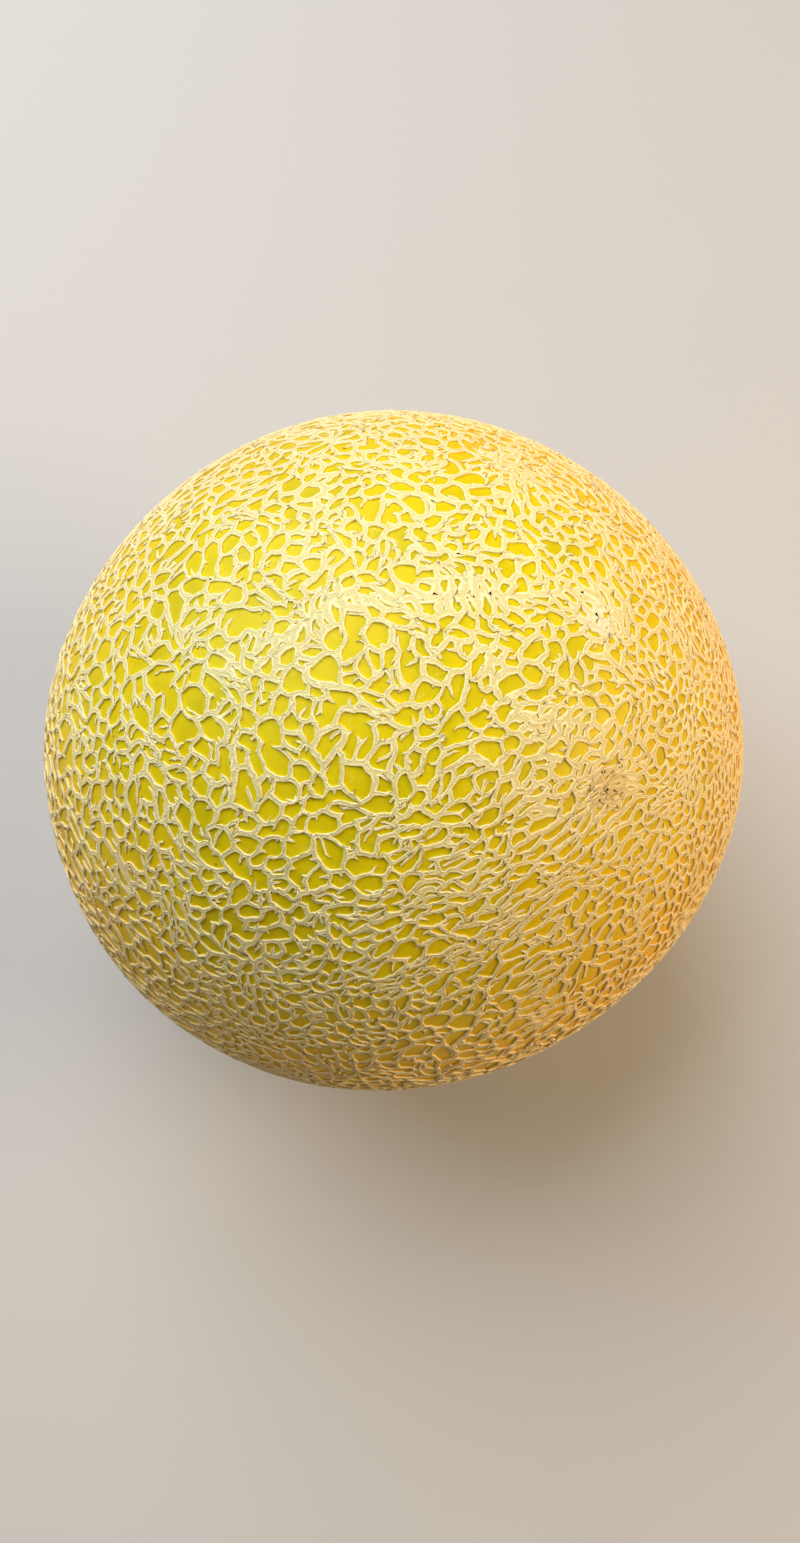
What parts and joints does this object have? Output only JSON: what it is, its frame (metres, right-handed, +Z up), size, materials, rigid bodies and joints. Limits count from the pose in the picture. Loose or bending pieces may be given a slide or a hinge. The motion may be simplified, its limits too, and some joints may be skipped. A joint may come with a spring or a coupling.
{
  "type": "cantaloupe melon",
  "caption": "Whole netted melon lying on its side: a nearly round yellow rind covered by a raised corky net, with round marks at the stem and blossom ends.",
  "frame": {"origin": "on the surface that the melon rests on, under the middle of its box", "axes": "+Z up, +X from the stem end towards the blossom end, along the melon's length"},
  "size_m": [0.1474, 0.1438, 0.1408],
  "materials": {
    "rind": "satin"
  },
  "bodies": {
    "root": {"melon": "rind"}
  },
  "joints": []
}
